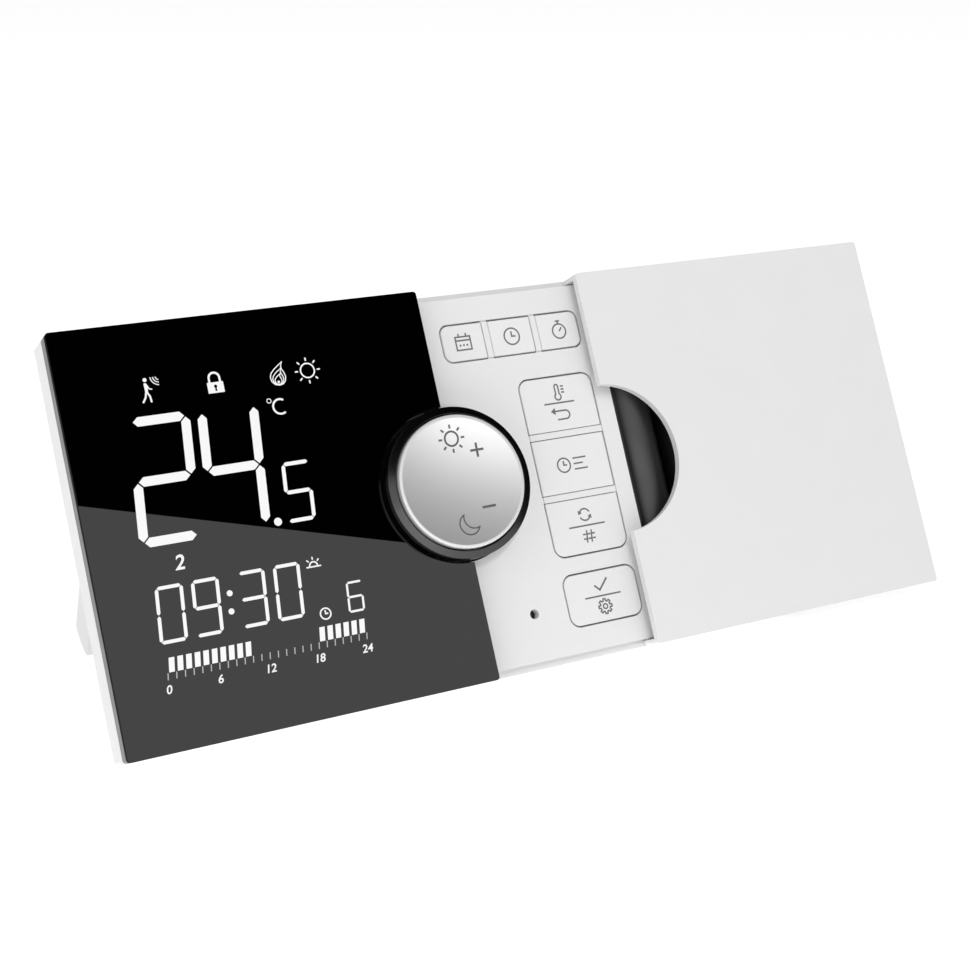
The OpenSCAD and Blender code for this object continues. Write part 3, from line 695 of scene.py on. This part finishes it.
def padlock(sheet, x, y):
    """A lock with a keyhole, its lower left corner at x, y."""
    mid = x + 1.6
    hole = [(mid - 0.2, y + 0.35), (mid + 0.2, y + 0.35), (mid + 0.16, y + 0.95), (mid + 0.34, y + 1.25),
            (mid + 0.2, y + 1.6), (mid - 0.2, y + 1.6), (mid - 0.34, y + 1.25), (mid - 0.16, y + 0.95)]
    body = [(x, y), (x + 3.2, y), (x + 3.2, y + 0.7), (x + 3.2, y + 1.4),
            (x + 3.2, y + 2.1), (x, y + 2.1), (x, y + 1.4), (x, y + 0.7)]
    sheet.pierced(body, hole)
    shackle = [(mid - 1.05, y + 2.1)] + arc(mid, y + 2.9, 1.05, 180, 0, 20) + [(mid + 1.05, y + 2.1)]
    sheet.ribbon(shackle, 0.4)


def flame(sheet, x, y):
    """Nested flame outlines that lean to the right at the tip, centred on x at the foot."""
    left = [(0.1, 0.0), (-0.75, 0.2), (-1.35, 0.85), (-1.5, 1.7),
            (-1.2, 2.5), (-0.5, 3.2), (0.25, 3.75), (1.35, 4.5)]
    right = [(1.0, 3.7), (1.05, 3.1), (1.4, 2.4), (1.6, 1.6), (1.4, 0.75), (0.85, 0.15)]
    for size, width in ((1.0, 0.2), (0.72, 0.18), (0.46, 0.18)):
        outline = [(x + px * size, y + 0.15 + (1 - size) * 0.35 + py * size) for px, py in left + right]
        sheet.ribbon(outline, width, closed=True)
    sheet.disc(x, y + 0.8, 0.26)


def walker(sheet, x, y):
    """A walking figure with three waves beside its head."""
    sheet.disc(x + 1.2, y + 4.4, 0.38)
    sheet.prism([(x + 0.85, y + 3.75), (x + 1.35, y + 3.8), (x + 1.55, y + 3.2), (x + 1.4, y + 2.0),
                 (x + 0.9, y + 1.95)])
    sheet.ribbon([(x + 1.15, y + 2.15), (x + 1.65, y + 1.2), (x + 1.75, y + 0.05)], 0.34)
    sheet.ribbon([(x + 1.0, y + 1.95), (x + 0.75, y + 1.05), (x + 0.1, y + 0.1)], 0.34)
    sheet.ribbon([(x + 1.4, y + 3.4), (x + 1.75, y + 2.65), (x + 2.3, y + 2.5)], 0.22)
    for i in range(3):
        sheet.ribbon(arc(x + 3.9, y + 4.8, 0.6 + 0.5 * i, 180, 265, 10), 0.17)


def make_icons():
    sheet = Print("display_icons", SCREEN_LEVEL)
    walker(sheet, 15.5, 64.5)
    padlock(sheet, 28.4, 64.7)
    flame(sheet, 42.6, 64.4)
    sun(sheet, 48.86, 66.7, 1.42, 1.95, 2.6, 0.28)
    sheet.ribbon(arc(41.9, 28.9, 0.8, 0, 180, 12), 0.28)
    sheet.line(40.4, 28.75, 43.4, 28.75, 0.28)
    for turn in (45, 90, 135):
        cos, sin = math.cos(math.radians(turn)), math.sin(math.radians(turn))
        sheet.line(41.9 + 1.2 * cos, 28.9 + 1.2 * sin, 41.9 + 1.75 * cos, 28.9 + 1.75 * sin, 0.26)
    clock_face(sheet, 42.3, 19.5, 1.05, 0.28)
    sheet.piece("segment", "case")


# ---- key labels ----

# Marks on the keys: width of a stroke before they are enlarged, and how much they are enlarged
PRINT_STROKE = 0.25
LABEL_SCALE = 1.3


def clock_face(sheet, x, y, radius, stroke):
    sheet.ring(x, y, radius, stroke)
    sheet.ribbon([(x, y + radius * 0.62), (x, y), (x + radius * 0.5, y)], stroke)


def hours(sheet, x, y):
    clock_face(sheet, x, y, 1.35, PRINT_STROKE)


def calendar(sheet, x, y):
    sheet.ribbon([(x - 1.3, y - 1.2), (x + 1.3, y - 1.2), (x + 1.3, y + 0.95), (x - 1.3, y + 0.95)],
                 PRINT_STROKE, closed=True)
    sheet.line(x - 1.18, y + 0.35, x + 1.18, y + 0.35, PRINT_STROKE)
    for side in (-1, 1):
        sheet.line(x + side * 0.65, y + 1.07, x + side * 0.65, y + 1.5, PRINT_STROKE)
    for column in (-0.6, 0.0, 0.6):
        sheet.prism([(x + column - 0.15, y - 0.6), (x + column + 0.15, y - 0.6),
                     (x + column + 0.15, y - 0.3), (x + column - 0.15, y - 0.3)])


def stopwatch(sheet, x, y):
    sheet.ring(x, y - 0.15, 1.2, PRINT_STROKE)
    sheet.line(x, y - 0.15, x + 0.55, y + 0.45, PRINT_STROKE)
    sheet.line(x - 0.4, y + 1.55, x + 0.4, y + 1.55, PRINT_STROKE)
    sheet.line(x, y + 1.07, x, y + 1.43, PRINT_STROKE)


def thermometer(sheet, x, y):
    bulb = arc(x, y - 0.75, 0.55, 125, 415, 20)
    tube = arc(x, y + 0.95, 0.32, 0, 180, 8)
    sheet.ribbon(bulb + tube, PRINT_STROKE, closed=True)
    for i in range(3):
        sheet.line(x + 0.75, y + 0.9 - 0.5 * i, x + 1.3, y + 0.9 - 0.5 * i, PRINT_STROKE)


def return_arrow(sheet, x, y):
    sheet.ribbon([(x - 1.1, y + 0.45), (x + 0.6, y + 0.45)] + arc(x + 0.7, y - 0.25, 0.7, 85, -90, 12)
                 + [(x - 0.9, y - 0.95)], PRINT_STROKE)
    sheet.prism([(x - 1.9, y + 0.45), (x - 1.1, y - 0.15), (x - 1.1, y + 1.05)])


def programme(sheet, x, y):
    clock_face(sheet, x - 1.7, y, 1.15, PRINT_STROKE)
    for i, length in enumerate((2.4, 1.7, 2.4)):
        sheet.line(x + 0.1, y + 0.9 - 0.9 * i, x + 0.1 + length, y + 0.9 - 0.9 * i, PRINT_STROKE)


def cycle(sheet, x, y):
    for start in (20, 200):
        points = arc(x, y, 0.95, start, start + 125, 14)
        sheet.ribbon(points, PRINT_STROKE)
        end, turn = points[-1], math.radians(start + 125)
        forward = Vector((-math.sin(turn), math.cos(turn)))
        side = Vector((math.cos(turn), math.sin(turn)))
        tip = Vector(end) + forward * 0.62
        sheet.prism([tuple(tip), tuple(Vector(end) + side * 0.42), tuple(Vector(end) - side * 0.42)])


def hash_mark(sheet, x, y):
    """Two leaning strokes, and two bars across them in short pieces, so that no two lines overlap."""
    for side in (-1, 1):
        sheet.line(x + side * 0.42 - 0.12, y - 1.0, x + side * 0.42 + 0.12, y + 1.0, PRINT_STROKE)
        for left, right in ((-1.1, -0.56), (-0.28, 0.28), (0.56, 1.1)):
            sheet.line(x + left, y + side * 0.38, x + right, y + side * 0.38, PRINT_STROKE)


def tick(sheet, x, y):
    sheet.ribbon([(x - 1.2, y + 0.05), (x - 0.35, y - 0.8), (x + 1.3, y + 0.95)], PRINT_STROKE * 1.2)


def gear(sheet, x, y):
    teeth = 8
    points = []
    for i in range(teeth):
        base = 360 / teeth * i
        points += arc(x, y, 1.2, base - 9, base + 9, 2)
        points += arc(x, y, 0.88, base + 15, base + 30, 2)
    sheet.ribbon(points, PRINT_STROKE, closed=True)
    sheet.ring(x, y, 0.38, PRINT_STROKE)


# Marks on each key, from the top down, and the length of the line between them
LABELS = {
    "day_key": ([calendar], 0), "hour_key": ([hours], 0), "minute_key": ([stopwatch], 0),
    "temperature_key": ([thermometer, return_arrow], 7.2), "program_key": ([programme], 0),
    "mode_key": ([cycle, hash_mark], 8.6), "set_key": ([tick, gear], 8.6),
}
# How far the upper and lower mark on a key stand from its middle
LABEL_RISE = 2.3
LABEL_DEPTH = 0.02


def make_labels():
    for key, (glyphs, bar) in LABELS.items():
        low, high = box_of(key)
        centre = (low + high) / 2
        sheet = Print(key.replace("_key", "_label"), high.z - LABEL_DEPTH / 4, LABEL_DEPTH)
        if bar:
            half = bar / 2 / LABEL_SCALE
            sheet.line(-half, 0, half, 0, PRINT_STROKE)
        rise = LABEL_RISE / LABEL_SCALE if bar else 0
        for glyph, y in zip(glyphs, (rise, -rise)):
            glyph(sheet, 0, y)
        for vert in sheet.mesh.verts:
            vert.co.x = centre.x + vert.co.x * LABEL_SCALE
            vert.co.y = centre.y + vert.co.y * LABEL_SCALE
        sheet.piece("key_print", key + "_body")


# ---- dial cap ----

# Depth and radius of the cap's shallow dish, and the rings that draw it
DISH = 0.7
DISH_R = 12.8
DISH_RINGS = 14
# The step up from the dish to the rim, as [width, height]
RIM_STEP = [0.06, 0.1]
# The cap's rounded rim, as [in from its edge, below its top]
CAP_RIM = [(0.22, 0.0), (0.1, 0.04), (0.03, 0.12), (0.0, 0.25)]
CAP_THICK = 2
CAP_LOWER_EDGE = 0.1
# The boss below the cap, its size and how far it reaches into the cap
CAP_BOSS = (6, 7, 4.6)
BOSS_SUNK = 0.2
# The two plungers, as [distance from the centre, radius], and how far they reach into the cap
PLUNGER = [8.5, 1.2]
PLUNGER_SUNK = 0.1
# How far the marks are sunk into the dish
MARK_SUNK = 0.012


def lathe(profile, steps=96):
    """A closed turned shape round the dial's axis; the profile runs from the axis and back to it."""
    shape = bmesh.new()
    rings = []
    for radius, z in profile:
        if radius == 0:
            rings.append([shape.verts.new((DIAL.x, DIAL.y, z))])
        else:
            rings.append([shape.verts.new((px, py, z))
                          for px, py in arc(DIAL.x, DIAL.y, radius, 0, 360, steps)[:-1]])
    for a, b in zip(rings, rings[1:]):
        for i in range(steps):
            k = (i + 1) % steps
            corners = [a[i % len(a)], a[k % len(a)], b[k % len(b)], b[i % len(b)]]
            shape.faces.new(list(dict.fromkeys(corners)))
    return shape


def dish(radius, top):
    return top - RIM_STEP[1] - DISH * (1 - (radius / DISH_R) ** 2)


def make_cap():
    low, high = box_of("dial_cap")
    outer = (high.x - low.x) / 2
    top = high.z
    under = top - CAP_THICK
    profile = [(0, dish(0, top))]
    profile += [(r, dish(r, top)) for r in [DISH_R * i / DISH_RINGS for i in range(1, DISH_RINGS + 1)]]
    profile += [(DISH_R + RIM_STEP[0], top)]
    profile += [(outer - inset, top - drop) for inset, drop in CAP_RIM]
    profile += [(outer, under + CAP_LOWER_EDGE), (outer - CAP_LOWER_EDGE, under), (0, under)]
    shape = lathe(profile)
    bmesh.ops.recalc_face_normals(shape, faces=shape.faces)
    boss = Matrix.Translation((DIAL.x, DIAL.y, under - CAP_BOSS[2] / 2 + BOSS_SUNK))
    bmesh.ops.create_cube(shape, size=1, matrix=boss @ Matrix.Diagonal((*CAP_BOSS, 1)))
    for side in (-1, 1):
        level = (low.z + under) / 2 + PLUNGER_SUNK
        place = Matrix.Translation((DIAL.x, DIAL.y + side * PLUNGER[0], level))
        bmesh.ops.create_cone(shape, cap_ends=True, segments=24, radius1=PLUNGER[1],
                              radius2=PLUNGER[1], depth=under - low.z, matrix=place)
    shape.transform(CASE)
    data = bpy.data.meshes.new("cap_shell")
    shape.to_mesh(data)
    shape.free()
    for look in ("cap", "cap_rim"):
        data.materials.append(MATERIALS[look])
    for polygon in data.polygons:
        polygon.use_smooth = True
        place = TO_CASE @ polygon.center
        if math.hypot(place.x - DIAL.x, place.y - DIAL.y) > DISH_R:
            polygon.material_index = 1
    data.set_sharp_from_angle(angle=math.radians(28))
    cap = add_object("cap_shell", data)
    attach(cap, "cap")
    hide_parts("dial_cap")
    return top


def make_cap_marks(top):
    """The marks follow the cap's shallow dish, each at the level of the dish below it."""
    x, y = DIAL.x, DIAL.y
    sheet = Print("cap_marks", dish(0, top))
    sun(sheet, x - 0.3, y + 8.75, 1.45, 2.05, 2.85, 0.4)
    sheet.prism([(x + 4.7 + px, y + 5.8 + py) for px, py in cross(1.45, 0.24)])
    sheet.line(x + 3.25, y - 5.8, x + 6.15, y - 5.8, 0.5)
    moon(sheet, x, y)
    for vert in sheet.mesh.verts:
        away = math.hypot(vert.co.x - x, vert.co.y - y)
        vert.co.z += dish(away, top) - dish(0, top) - MARK_SUNK
    sheet.piece("cap_print", "cap")


def cross(reach, half):
    return [(-reach, -half), (-half, -half), (-half, -reach), (half, -reach), (half, -half),
            (reach, -half), (reach, half), (half, half), (half, reach), (-half, reach),
            (-half, half), (-reach, half)]


def moon(sheet, x, y):
    """A crescent outline, from two circles that cross at its tips."""
    outer = Vector((x - 0.33, y - 8.67))
    inner = Vector((x + 0.83, y - 7.5))
    apart = inner - outer
    heading = math.degrees(math.atan2(apart.y, apart.x))
    radius = 2.13
    open_half = math.degrees(math.acos(apart.length / 2 / radius))
    far = arc(outer.x, outer.y, radius, heading + open_half, heading + 360 - open_half, 40)
    near = arc(inner.x, inner.y, radius, heading + 180 + open_half, heading + 180 - open_half, 24)
    sheet.ribbon(far + near[1:-1], 0.28, closed=True)


# ---- assembly ----

make_camera()
make_floor()
make_world()
make_cards()
for lamp_name, (lamp_place, lamp_size, lamp_power) in LAMPS.items():
    make_softbox(lamp_name, lamp_place, lamp_size, lamp_power)

dress()
for node_name, edge in EDGES.items():
    soften(node_name, edge)
for node_name in KEYS:
    soften(node_name, KEY_EDGE)

make_temperature()
make_clock()
make_day_bars()
make_icons()
make_labels()
make_cap_marks(make_cap())

bpy.context.scene.view_settings.view_transform = "Standard"
